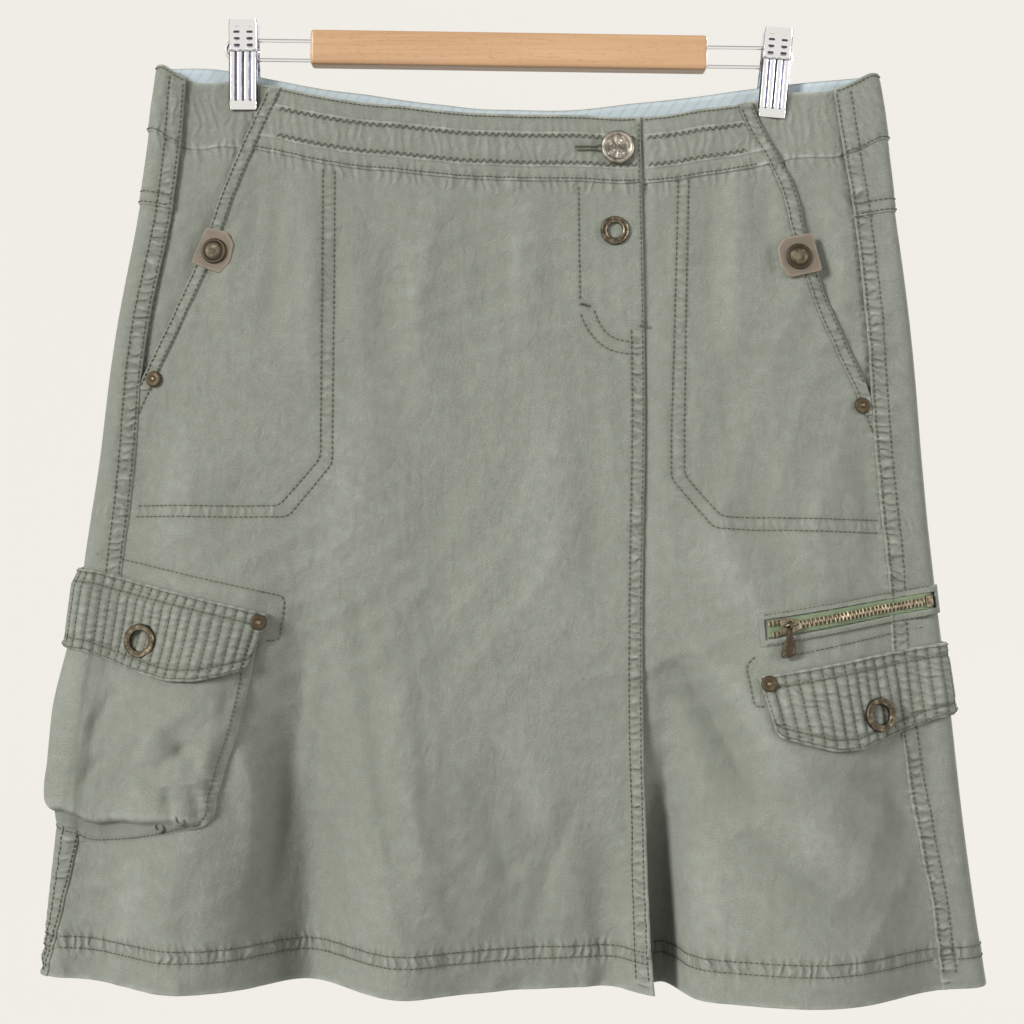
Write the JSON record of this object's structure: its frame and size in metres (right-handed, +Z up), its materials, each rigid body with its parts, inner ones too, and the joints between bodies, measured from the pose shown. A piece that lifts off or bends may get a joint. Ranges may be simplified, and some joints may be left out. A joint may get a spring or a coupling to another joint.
{
  "type": "cargo skirt on a clip hanger",
  "caption": "Washed cotton cargo skirt with quilted pocket flaps, a bellows pocket and a zip pocket, hanging by its waist from a wooden bar hanger with metal clips.",
  "frame": {"origin": "middle of the hanger bar's top face, where a hook or hand holds it", "axes": "+Z up, -Y the skirt's front, +X to the right as seen from the front, along the hanger bar"},
  "size_m": [0.5279, 0.1185, 0.538],
  "materials": {
    "cotton_twill": "garment-washed cotton twill, matte, faded at the seams",
    "quilted_twill": "the same twill, padded and stitched in rows",
    "striped_shirting": "pale striped shirting",
    "zip_tape": "woven green zip tape",
    "antique_brass": "antique brass",
    "dark_bronze": "dark bronze, worn bright on the edges",
    "antique_silver": "antique silver with a raised swirl",
    "leather": "taupe leather with edge stitching",
    "eyelet_thread": "worked thread",
    "beech": "clear-lacquered beech",
    "chrome": "bright chrome"
  },
  "bodies": {
    "skirt": {"front_left": "cotton_twill", "front_right": "cotton_twill", "pocket_back_left": "cotton_twill", "pocket_back_right": "cotton_twill", "back_panel": "cotton_twill", "back_yoke": "cotton_twill", "waistband_back": "cotton_twill", "waistband_front_left": "cotton_twill", "waistband_front_right": "cotton_twill", "waistband_side_left": "cotton_twill", "waistband_side_right": "cotton_twill", "slant_strip_left": "cotton_twill", "slant_strip_right": "cotton_twill", "waist_tape_left": "cotton_twill", "waist_tape_right": "cotton_twill", "cargo_bag_left": "cotton_twill", "zip_welt": "cotton_twill", "flap_left": "quilted_twill", "flap_right": "quilted_twill", "waist_facing_back": "striped_shirting", "zip_tape": "zip_tape", "zip_chain": "antique_brass", "rivet_pocket_left": "antique_brass", "rivet_pocket_right": "antique_brass", "rivet_flap_left": "antique_brass", "rivet_flap_right": "antique_brass", "zip_slider": "dark_bronze", "zip_stop": "dark_bronze", "snap_cap_left": "dark_bronze", "snap_cap_right": "dark_bronze", "ring_fly": "dark_bronze", "ring_flap_left": "dark_bronze", "ring_flap_right": "dark_bronze", "waist_button": "antique_silver", "leather_tab_left": "leather", "leather_tab_right": "leather", "eyelet_outer": "eyelet_thread", "eyelet_inner": "eyelet_thread", "hanger_bar": "beech", "hanger_wire_left": "chrome", "hanger_wire_right": "chrome", "clip_barrel_left": "chrome", "clip_barrel_right": "chrome", "clip_front_left": "chrome", "clip_front_right": "chrome", "clip_rear_left": "chrome", "clip_rear_right": "chrome"},
    "pull": {"zip_pull": "dark_bronze"}
  },
  "joints": [
    {"name": "pull_swing", "type": "hinge", "parent": "skirt", "child": "pull", "pos_m": [0.15172, -0.04104, -0.32832], "axis": [-0.9801, -0.1191, -0.1589], "range_deg": [-5, 165]}
  ]
}
